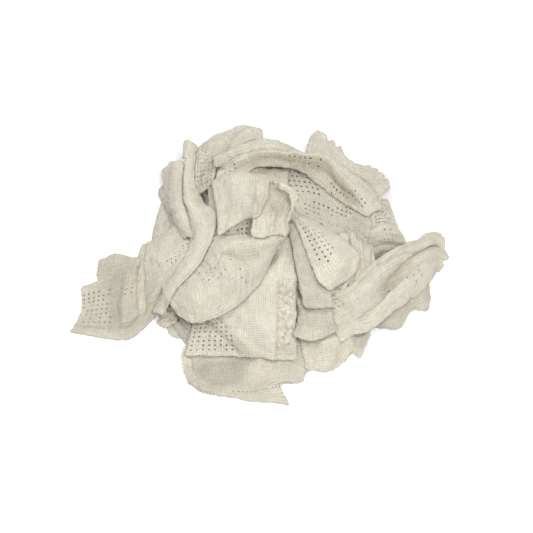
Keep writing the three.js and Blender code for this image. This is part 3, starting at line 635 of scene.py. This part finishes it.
def widened(field):
    wide = field.copy()
    for di in (-1, 0, 1):
        for dj in (-1, 0, 1):
            wide = np.maximum(wide, np.roll(field, (di, dj), axis=(0, 1)))
    return wide


def raised(base, lift):
    points = base.copy()
    points[..., 1] -= LEAN * lift
    points[..., 2] += lift
    return points


def shortfall(base, lift, reach):
    """How much further each point of a raised sheet must rise to clear what lies below it."""
    points = raised(base, lift)
    return np.maximum(reach[raster_index(points)] + GAP + THICKNESS / 2 - points[..., 2], 0)


def settle(base):
    """Raises a sheet until it clears what lies below it, keeping the raise smooth."""
    reach = widened(heights)
    lift = np.zeros(base.shape[:2])
    smooth_steps = SETTLE_STEPS - FIRM_STEPS
    for step in range(SETTLE_STEPS):
        lift = lift + shortfall(base, lift, reach)
        if step < smooth_steps:
            lift = np.maximum(blur(lift, WIDEST_BLUR * (1 - step / smooth_steps)), 0)
        elif step < SETTLE_STEPS - 2:
            lift = np.maximum(blur(lift, 1), 0)
    return lift


def drooped(base, lift, edge_distance, most, width):
    """Lets the edges of a settled sheet hang down onto what lies below them."""
    reach = widened(heights)
    share = np.exp(-(edge_distance / width) ** 2)
    start = lift
    for _ in range(DROOP_STEPS):
        points = raised(base, lift)
        spare = points[..., 2] - reach[raster_index(points)] - GAP - THICKNESS / 2
        lift = lift - 0.5 * share * np.clip(spare, -1, most)
        lift = np.maximum(blur(lift, 2), start - most)
    for step in range(DROOP_STEPS):
        lift = lift + shortfall(base, lift, reach)
        if step < DROOP_STEPS - 3:
            lift = blur(lift, 1)
    return raised(base, lift)


def distance_to_edge(region, size):
    """For each grid point, roughly how far it is from the sheet's outline."""
    step = size[0] / region.shape[0]
    inner = np.pad(region, 1)
    inner = inner[:-1, :-1] & inner[1:, :-1] & inner[:-1, 1:] & inner[1:, 1:]
    distance = np.where(inner, FAR, 0.0)
    for _ in range(int(EDGE_REACH / step)):
        around = np.pad(distance, 1, mode="edge")
        beside = (around[:-2, 1:-1], around[2:, 1:-1], around[1:-1, :-2], around[1:-1, 2:])
        distance = np.minimum(distance, np.minimum.reduce(beside) + step)
    return distance


def lay_down(points):
    """Raises the height map to the top of a sheet, at its grid points and between them."""
    for f in (0, 0.5):
        for g in (0, 0.5):
            between = points[:-1, :-1] * (1 - f) * (1 - g)
            between = between + points[1:, :-1] * f * (1 - g)
            between = between + points[:-1, 1:] * (1 - f) * g
            between = between + points[1:, 1:] * f * g
            np.maximum.at(heights, raster_index(between), between[..., 2] + THICKNESS / 2)
    np.maximum.at(heights, raster_index(points), points[..., 2] + THICKNESS / 2)


# ------- places on a sheet

# shape is the grid's points along and across, size its millimetres, and places where the grid's
# points lie from 0 to 1 along and across the net.
Weave = namedtuple("Weave", "shape size places")


def weave_of(rag):
    size = mean_lengths(rag["net"])
    cell = CELL * (COARSER if rag["hidden"] else 1)
    shape = tuple(FINE * max(2, round(length / cell)) + 1 for length in size)
    places = (even_places(rag["net"], 0, shape[0]), even_places(rag["net"], 1, shape[1]))
    return Weave(shape, size, places)


def grid_points(weave):
    """How far along and across the sheet each grid point is, in mm."""
    along = np.linspace(0, weave.size[0], weave.shape[0])
    across = np.linspace(0, weave.size[1], weave.shape[1])
    return np.meshgrid(along, across, indexing="ij")


def quad_middles(weave):
    """How far along and across the sheet the middle of each quad is, in mm."""
    (rows, columns), size = weave.shape, weave.size
    along = (np.arange(rows - 1) + 0.5) / (rows - 1) * size[0]
    across = (np.arange(columns - 1) + 0.5) / (columns - 1) * size[1]
    return np.meshgrid(along, across, indexing="ij")


def on_sheet(line, weave):
    """A line of (u, v) places on a net, in millimetres along and across the sheet."""
    along = np.linspace(0, weave.size[0], weave.shape[0])
    across = np.linspace(0, weave.size[1], weave.shape[1])
    return [
        (np.interp(u / 100, weave.places[0], along), np.interp(v / 100, weave.places[1], across))
        for u, v in line
    ]


def inside(polygon, u, v):
    """True where (u, v) lies within a polygon."""
    result = np.zeros(u.shape, bool)
    for (u0, v0), (u1, v1) in zip(polygon, polygon[1:] + polygon[:1]):
        crosses = (v0 > v) != (v1 > v)
        at = (u1 - u0) * (v - v0) / ((v1 - v0) or 1e-9) + u0
        result ^= crosses & (u < at)
    return result


# ------- what a rag shows

def open_cells(rag, weave, rng):
    """For each quad that is an open cell of the weave, how far it opens; 0 where it is closed."""
    along, across = quad_middles(weave)
    opening = np.zeros(along.shape)
    for share, width, *area in rag["cells"]:
        chosen = inside(on_sheet(area, weave), along, across)
        chosen[np.arange(len(along)) % FINE != FINE // 2] = False
        chosen[:, np.arange(along.shape[1]) % FINE != FINE // 2] = False
        chosen &= rng.uniform(size=along.shape) < share
        opening[chosen] = width * rng.uniform(0.6, 1.25, along.shape)[chosen]
    return opening


def patches(areas, weave, softness):
    """Soft-edged patches of a sheet, each with its own strength."""
    along, across = grid_points(weave)
    field = np.zeros(weave.shape)
    for strength, *area in areas:
        field += strength * blur(inside(on_sheet(area, weave), along, across) * 1.0, softness)
    return field


def soft_lines(lines, weave):
    """Soft ridges and troughs along given lines."""
    along, across = grid_points(weave)
    relief = np.zeros(weave.shape)
    for half_width, height, *line in lines:
        line = np.array(on_sheet(line, weave))
        nearest = np.full(weave.shape, 1e9)
        for start, end in zip(line, line[1:]):
            way = end - start
            t = ((along - start[0]) * way[0] + (across - start[1]) * way[1]) / (way @ way + 1e-9)
            t = np.clip(t, 0, 1)
            distance = np.hypot(along - start[0] - t * way[0], across - start[1] - t * way[1])
            nearest = np.minimum(nearest, distance)
        relief += height * np.exp(-(nearest / half_width) ** 1.6)
    return relief


def crumples(rag, weave, rng):
    """How far each point of a sheet stands off its smooth net, in mm."""
    def bumps(*wavelengths):
        return soft_noise(rng, weave.size, weave.shape, *wavelengths)

    relief = sum(height * bumps(wavelength) for height, wavelength in WAVES)
    for height, wavelength in FOLDS:
        relief += height * (RIDGE_LEVEL - np.abs(bumps(wavelength)))
    relief *= rag["soft"]
    relief += PUCKERS[0] * bumps(PUCKERS[1])
    height, way, pitch = rag["ribs"]
    relief += height * (bumps(RIB_LENGTH, pitch) if way == "u" else bumps(pitch, RIB_LENGTH))
    relief += soft_lines(rag["creases"], weave)
    return relief + patches(rag["lumps"], weave, 2) * (0.3 + bumps(LUMP_LENGTH))


def trimmed(rag, weave, rng):
    """True for the quads that are cut away from the outline, along a slightly wandering line."""
    along, across = quad_middles(weave)
    for depth, wavelength in CUT_WOBBLE:
        along = along + depth * soft_noise(rng, weave.size, along.shape, wavelength)
        across = across + depth * soft_noise(rng, weave.size, along.shape, wavelength)
    gone = np.zeros(along.shape, bool)
    for area in rag["trim"]:
        kept = np.clip(area, 0, 100)
        line = on_sheet(kept, weave) + TRIM_PAST * np.sign(area - kept)
        gone |= inside(line.tolist(), along, across)
    return gone


def toothed(rag, weave, rng):
    """True for the quads between the teeth of an edge cut with pinking shears."""
    along, across = quad_middles(weave)
    length, width = weave.size
    gone = np.zeros(along.shape, bool)
    for start, end, edge, pitch, depth in rag["teeth"]:
        place = across + 1.5 * soft_noise(rng, weave.size, along.shape, 14)
        between = np.abs((place / pitch) % 1 - 0.5) * 2
        reach = depth * (1 + 0.5 * soft_noise(rng, weave.size, along.shape, 12)) * between
        chosen = (across > start / 100 * width) & (across < end / 100 * width)
        gone |= chosen & (edge / 100 * length - along < reach)
    return gone


def ragged(base, rng, depth):
    """Makes the cut edges uneven: each edge point moves a little in or out along the sheet."""
    points = base.copy()
    for side in range(4):
        view = np.rot90(points, side)
        count = view.shape[1]
        length = np.linalg.norm(np.diff(view[0], axis=0), axis=1).sum()
        wobble = np.zeros(count)
        for share, wavelength in EDGE_WOBBLE:
            knots = rng.uniform(-1, 1, max(3, int(length / wavelength * 2)))
            curve = spline_matrix(len(knots), np.linspace(0, 1, count)) @ knots
            wobble += share * (0.4 - np.abs(curve))
        outward = view[0] - view[3]
        outward /= np.linalg.norm(outward, axis=1, keepdims=True) + 1e-9
        for row, share in enumerate((1, 0.7, 0.4, 0.15)):
            view[row] += outward * (wobble * depth * share)[:, None]
    return points


def spread_openings(points, opening):
    """Draws the corners of each open cell outwards."""
    points = points.copy()
    for i, j in zip(*np.nonzero(opening)):
        block = points[i:i + 2, j:j + 2]
        centre = block.mean(axis=(0, 1))
        size = np.linalg.norm(block[0, 0] - block[1, 1]) / 2
        points[i:i + 2, j:j + 2] = centre + (block - centre) * (size + OPENING * opening[i, j]) / size
    return points


def rim(region):
    """The grid edges round a region of quads: both ends of each, and its quad."""
    padded = np.pad(region, 1)
    sides = (
        (padded[:-2, 1:-1], (0, 0), (0, 1)),
        (padded[2:, 1:-1], (1, 0), (1, 1)),
        (padded[1:-1, :-2], (0, 0), (1, 0)),
        (padded[1:-1, 2:], (0, 1), (1, 1)),
    )
    found = []
    for neighbour, start, end in sides:
        quad = np.argwhere(region & ~neighbour)
        found.append((quad + start, quad + end, quad))
    return [np.concatenate(column) for column in zip(*found)]


def eased_outline(points, region):
    """Takes the steps out of a cut outline."""
    points = points.copy()
    start, end, _ = rim(region)
    for _ in range(3):
        total = np.zeros(points.shape)
        count = np.zeros(points.shape[:2])
        for a, b in ((start, end), (end, start)):
            np.add.at(total, (a[:, 0], a[:, 1]), points[b[:, 0], b[:, 1]])
            np.add.at(count, (a[:, 0], a[:, 1]), 1)
        edge = count == 2
        points[edge] = 0.5 * points[edge] + 0.5 * total[edge] / count[edge][:, None]
    return points


# ------- meshes

def new_object(name, vertices, faces, material):
    mesh = bpy.data.meshes.new(name)
    mesh.from_pydata(vertices, [], faces)
    mesh.materials.append(material)
    mesh.shade_smooth()
    thing = bpy.data.objects.new(name, mesh)
    bpy.context.scene.collection.objects.link(thing)
    return thing


def sheet_piece(rag, points, opening, region, tone, material):
    """The sheet's mesh, with the weave's coordinates, its tone of painted shade and grey, and its cells
    of painted shadow.
    """
    rows, columns = points.shape[:2]
    # With shaded cells, the open cells are kept as faces that carry painted shadow
    i, j = np.nonzero(region if rag["shaded_cells"] else (opening == 0) & region)
    index = np.arange(rows * columns).reshape(rows, columns)
    corners = np.stack([index[i, j], index[i + 1, j], index[i + 1, j + 1], index[i, j + 1]], axis=1)
    used, faces = np.unique(corners, return_inverse=True)
    faces = faces.reshape(-1, 4)
    flat = points.reshape(-1, 3)[used]
    piece = new_object(rag["name"] + "_cloth", flat * MM, faces.tolist(), material)
    coordinates = np.stack(np.divmod(used, columns), axis=1) / FINE
    layer = piece.data.uv_layers.new(name="weave")
    layer.data.foreach_set("uv", coordinates[faces.ravel()].ravel())
    # The tone: mostly painted shade, partly a rag's own greyer cloth
    tones = piece.data.attributes.new("tone", "FLOAT", "POINT").data
    tones.foreach_set("value", np.clip(tone, -1, 1).reshape(-1)[used])
    # Painted shadow on the open cells that are kept
    pit_shade = piece.data.attributes.new("hole_shadow", "FLOAT", "FACE").data
    pit_shade.foreach_set("value", (opening[i, j] > 0) * 1.0)
    solidify = piece.modifiers.new("thickness", "SOLIDIFY")
    solidify.thickness = THICKNESS * MM
    solidify.offset = 0
    solidify.use_even_offset = False
    return piece


def unit(vectors):
    return vectors / (np.linalg.norm(vectors, axis=1, keepdims=True) + 1e-9)


def fringe(rag, points, region, rng):
    """Loose ends of yarn along the cut edges."""
    start, end, quad = rim(region)
    a = points[start[:, 0], start[:, 1]]
    b = points[end[:, 0], end[:, 1]]
    centre = sum(points[quad[:, 0] + di, quad[:, 1] + dj] for di in (0, 1) for dj in (0, 1)) / 4
    length = np.linalg.norm(b - a, axis=1)
    chosen = np.repeat(np.arange(len(a)), rng.poisson(rag["fray"] * length / YARN_STEP))
    column = (len(chosen), 1)
    place = rng.uniform(0, 1, column)
    root = a[chosen] * (1 - place) + b[chosen] * place
    out = unit((a + b)[chosen] / 2 - centre[chosen])
    up = normals_of(points)[start[chosen, 0], start[chosen, 1]]
    side = unit(np.cross(up, out))
    reach = rng.gamma(2.0, 0.55, column).clip(*LOOSE_END)
    long_ones = rng.uniform(size=column) < rag["threads"]
    reach = np.where(long_ones, rng.uniform(*LONG_END, column), reach)
    turn = rng.normal(0, 0.5, column)
    heading = out * np.cos(turn) + side * np.sin(turn) + up * rng.normal(-0.05, 0.25, column)
    bend = side * rng.normal(0, 0.4, column) + up * rng.normal(-0.2, 0.2, column)
    return root, heading, bend, reach, side, up


def tufts(rag, points, weave, rng):
    """Short curled ends of yarn that stand up where the weave has come undone."""
    parts = []
    along, across = quad_middles(weave)
    for density, *area in rag["tufts"]:
        at = np.argwhere(inside(on_sheet(area, weave), along, across))
        chosen = at[rng.randint(0, len(at), int(density * len(at)))]
        root = points[chosen[:, 0], chosen[:, 1]] + rng.uniform(-0.8, 0.8, (len(chosen), 3))
        up = normals_of(points)[chosen[:, 0], chosen[:, 1]]
        turn = rng.uniform(0, 2 * math.pi, (len(chosen), 1))
        way = np.concatenate([np.cos(turn), np.sin(turn), np.zeros_like(turn)], axis=1)
        side = unit(np.cross(up, way))
        heading = unit(np.cross(side, up)) * 0.8 + up * rng.uniform(0.25, 0.8, turn.shape)
        bend = side * rng.normal(0, 0.6, turn.shape) - up * rng.uniform(0.3, 0.9, turn.shape)
        parts.append((root, heading, bend, rng.uniform(*TUFT_END, turn.shape), side, up))
    return parts


def yarn_piece(name, parts, material):
    """Yarns joined in one mesh of thin three-sided tubes."""
    root, heading, bend, reach, side, up = (np.concatenate(column) for column in zip(*parts))
    rings = []
    for t, taper in YARN_RINGS:
        middle = root + heading * reach * t + bend * reach * max(t, 0) ** 2
        middle[:, 2] = np.maximum(middle[:, 2], YARN)
        for angle in YARN_CORNERS:
            rings.append(middle + (side * math.cos(angle) + up * math.sin(angle)) * YARN * taper)
    vertices = np.stack(rings, axis=1).reshape(-1, 3)
    first = len(rings) * np.arange(len(root))[:, None, None]
    walls = []
    for ring in range(3):
        for k in range(3):
            p, q = 3 * ring + k, 3 * ring + (k + 1) % 3
            walls.append([p, q, q + 3, p + 3])
    walls = (first + np.array(walls)).reshape(-1, 4).tolist()
    caps = (first + np.array([[9, 10, 11], [2, 1, 0]])).reshape(-1, 3).tolist()
    return new_object(name, vertices * MM, walls + caps, material)


# ------- materials

def cotton(name, colour, grey):
    """Cream cotton in plain weave, mottled by wear, with painted shade between each four yarns, painted
    shade and grey where the sheet's tone says, and painted shadow in closed holes.
    """
    material = bpy.data.materials.new(name)
    material.use_nodes = True
    nodes = material.node_tree.nodes
    links = material.node_tree.links
    shader = nodes["Principled BSDF"]
    shader.inputs["Roughness"].default_value = 0.95
    shader.inputs["Sheen Weight"].default_value = 0.12
    shader.inputs["Sheen Roughness"].default_value = 0.5
    shader.inputs["Specular IOR Level"].default_value = 0.15
    shader.inputs["Subsurface Weight"].default_value = 0.3
    shader.inputs["Subsurface Radius"].default_value = (1, 0.9, 0.75)
    shader.inputs["Subsurface Scale"].default_value = 0.003

    def node(kind, inputs, output=0, **settings):
        """One output of a new node, whose inputs are each a number or a link."""
        made = nodes.new("ShaderNode" + kind)
        for key, value in settings.items():
            setattr(made, key, value)
        for key, value in inputs.items():
            if isinstance(value, bpy.types.NodeSocket):
                links.new(value, made.inputs[key])
            else:
                made.inputs[key].default_value = value
        return made.outputs[output]

    def maths(operation, *values):
        return node("Math", dict(enumerate(values)), operation=operation)

    def noise(scale, detail, vector):
        return node("TexNoise", {"Scale": scale, "Detail": detail, "Vector": vector}, "Fac")

    def multiply(first, second):
        settings = {"data_type": "RGBA", "blend_type": "MULTIPLY"}
        return node("Mix", {"Factor": 1, "A": first, "B": second}, "Result", **settings)

    def ramp(value, start, end, low, high):
        made = nodes.new("ShaderNodeValToRGB")
        for element, position, shade in zip(made.color_ramp.elements, (start, end), (low, high)):
            element.position = position
            element.color = (*shade, 1)
        links.new(value, made.inputs["Fac"])
        return made.outputs["Color"]

    def attribute(name):
        return node("Attribute", {}, "Fac", attribute_name=name)

    weave = node("UVMap", {}, uv_map="weave")
    place = node("TexCoord", {}, "Object")

    def stretched(scale_u, scale_v):
        inputs = {0: weave, 1: (scale_u, scale_v, 1)}
        return noise(1, 2, node("VectorMath", inputs, "Vector", operation="MULTIPLY"))

    waver = maths("MULTIPLY", noise(230, 3, place), 2.6)
    ribs = []
    for axis in ("X", "Y"):
        distance = node("SeparateXYZ", {"Vector": weave}, axis)
        turn = maths("MULTIPLY_ADD", distance, math.pi * YARNS_PER_CELL, waver)
        ribs.append(maths("ABSOLUTE", maths("SINE", turn)))
    yarns = maths("MAXIMUM", *ribs)
    slubs = maths("ADD", stretched(0.35, 4.4), stretched(4.4, 0.35))
    fibres = noise(1400, 3, place)
    relief = maths("MULTIPLY_ADD", slubs, 1.6, maths("MULTIPLY_ADD", fibres, 0.5, yarns))

    mottled = ramp(noise(26, 5, place), 0.38, 0.62, grey, colour)
    # Painted shade in the gaps between the yarns, where the openness noise lets them show
    openness = maths("MULTIPLY_ADD", noise(75, 3, place), -2.4, 1.55)
    pit_shade = ramp(maths("MAXIMUM", yarns, openness), 0.15, 0.75, YARN_GAP_SHADE, WHITE)
    half = maths("MULTIPLY", slubs, 0.5)
    streaks = ramp(half, 0.36, 0.62, (0.88, 0.875, 0.86), (1.05, 1.05, 1.05))
    fuzz = ramp(noise(520, 4, place), 0.3, 0.7, (0.9, 0.9, 0.89), (1.04, 1.04, 1.04))
    # Greyer where the tone says: mostly painted shade, partly the rag's own greyer cloth
    grey_and_shade = ramp(attribute("tone"), 0, 1, WHITE, GREY_AND_SHADE_TONE)
    # Painted shadow on the open cells that are kept
    shaded = ramp(attribute("hole_shadow"), 0, 1, WHITE, SHADED_CELL)
    woven = multiply(multiply(mottled, multiply(pit_shade, streaks)), fuzz)
    links.new(multiply(woven, multiply(grey_and_shade, shaded)), shader.inputs["Base Color"])

    bump = node("Bump", {"Strength": 1, "Distance": 0.0005, "Height": relief}, "Normal")
    links.new(bump, shader.inputs["Normal"])
    return material


MATERIALS = {name: cotton(name, *colours) for name, colours in COTTONS.items()}

# ------- the heap

def find_shift():
    """From the nets' own origin to the frame's: the lowest rag lies where the CAD has it."""
    steps = np.linspace(0, 1, 61)
    floor = surface(RAGS[0]["net"], steps, steps)
    low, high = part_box(RAGS[0]["name"])
    middle = (floor.min(axis=(0, 1)) + floor.max(axis=(0, 1))) / 2
    return np.array([(low[axis] + high[axis]) / 2 / MM - middle[axis] for axis in (0, 1)] + [0])


def build(rag, rng):
    """Lays one rag on those below it, and makes its sheet and its loose yarns."""
    weave = weave_of(rag)
    base = surface(rag["net"], *weave.places)
    base[..., 2] = np.maximum(base[..., 2] - SINK, THICKNESS / 2)
    if not rag["hidden"]:
        base = ragged(base, rng, rag["ragged"])
    base = base + normals_of(base) * crumples(rag, weave, rng)[..., None]
    base[..., 2] = np.maximum(base[..., 2], THICKNESS / 2)
    region = ~(trimmed(rag, weave, rng) | toothed(rag, weave, rng))
    points = drooped(base, settle(base), distance_to_edge(region, weave.size), *rag["droop"])
    lay_down(points)
    opening = open_cells(rag, weave, rng)
    points = eased_outline(spread_openings(points + SHIFT, opening), region)
    # Tone: greyer patches, mostly painted shade in hollows and under overhangs, partly whole rags of
    # greyer cloth, and lines of painted shade along creases
    tone = patches(rag["tones"], weave, 4) + soft_lines(rag["shades"], weave)
    material = MATERIALS[rag["slot"]]
    cloth = sheet_piece(rag, points, opening, region, tone, material)
    yarns = [fringe(rag, points, region, rng)] + tufts(rag, points, weave, rng)
    frayed = yarn_piece(rag["name"] + "_frayed_edge", yarns, material)
    for piece in (cloth, frayed):
        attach(piece, "root")
    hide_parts(rag["name"])


SHIFT = find_shift()
for number, laid in enumerate(RAGS):
    build(laid, np.random.RandomState(100 + number))

# ------- stage, light and camera

def make_floor():
    bpy.ops.mesh.primitive_plane_add(size=8)
    floor = bpy.context.object
    floor.name = "floor"
    material = bpy.data.materials.new("white_floor")
    material.use_nodes = True
    shader = material.node_tree.nodes["Principled BSDF"]
    shader.inputs["Base Color"].default_value = (1, 1, 1, 1)
    shader.inputs["Emission Color"].default_value = (1, 1, 1, 1)
    shader.inputs["Emission Strength"].default_value = 0.16
    shader.inputs["Roughness"].default_value = 1
    floor.data.materials.append(material)


def area_light(name, place, size, power, target=(0, 0, 0.03)):
    data = bpy.data.lights.new(name, "AREA")
    data.shape = "DISK"
    data.size = size
    data.energy = power
    light = bpy.data.objects.new(name, data)
    light.location = place
    direction = Vector(target) - Vector(place)
    light.rotation_euler = direction.to_track_quat("-Z", "Y").to_euler()
    bpy.context.scene.collection.objects.link(light)


def make_camera():
    target = np.array([*VIEW_MIDDLE, 0]) * MM + np.array([SHIFT[0], SHIFT[1], 0]) * MM
    data = bpy.data.cameras.new("camera")
    data.lens = SENSOR * DISTANCE / VIEW_WIDTH
    data.clip_end = 20
    camera = bpy.data.objects.new("camera", data)
    camera.location = target + DISTANCE * np.array([0, -math.cos(ELEVATION), math.sin(ELEVATION)])
    camera.rotation_euler = (math.pi / 2 - ELEVATION, 0, 0)
    bpy.context.scene.collection.objects.link(camera)
    bpy.context.scene.camera = camera


def make_world():
    world = bpy.data.worlds.new("world")
    world.use_nodes = True
    background = world.node_tree.nodes["Background"]
    background.inputs["Color"].default_value = (1, 1, 1, 1)
    background.inputs["Strength"].default_value = 0.46
    bpy.context.scene.world = world


make_floor()
area_light("key", (0.4, -0.85, 1.75), 0.8, 20)
area_light("back", (-0.55, 0.75, 1.7), 0.8, 9)
make_camera()
make_world()
bpy.context.scene.view_settings.view_transform = "Standard"
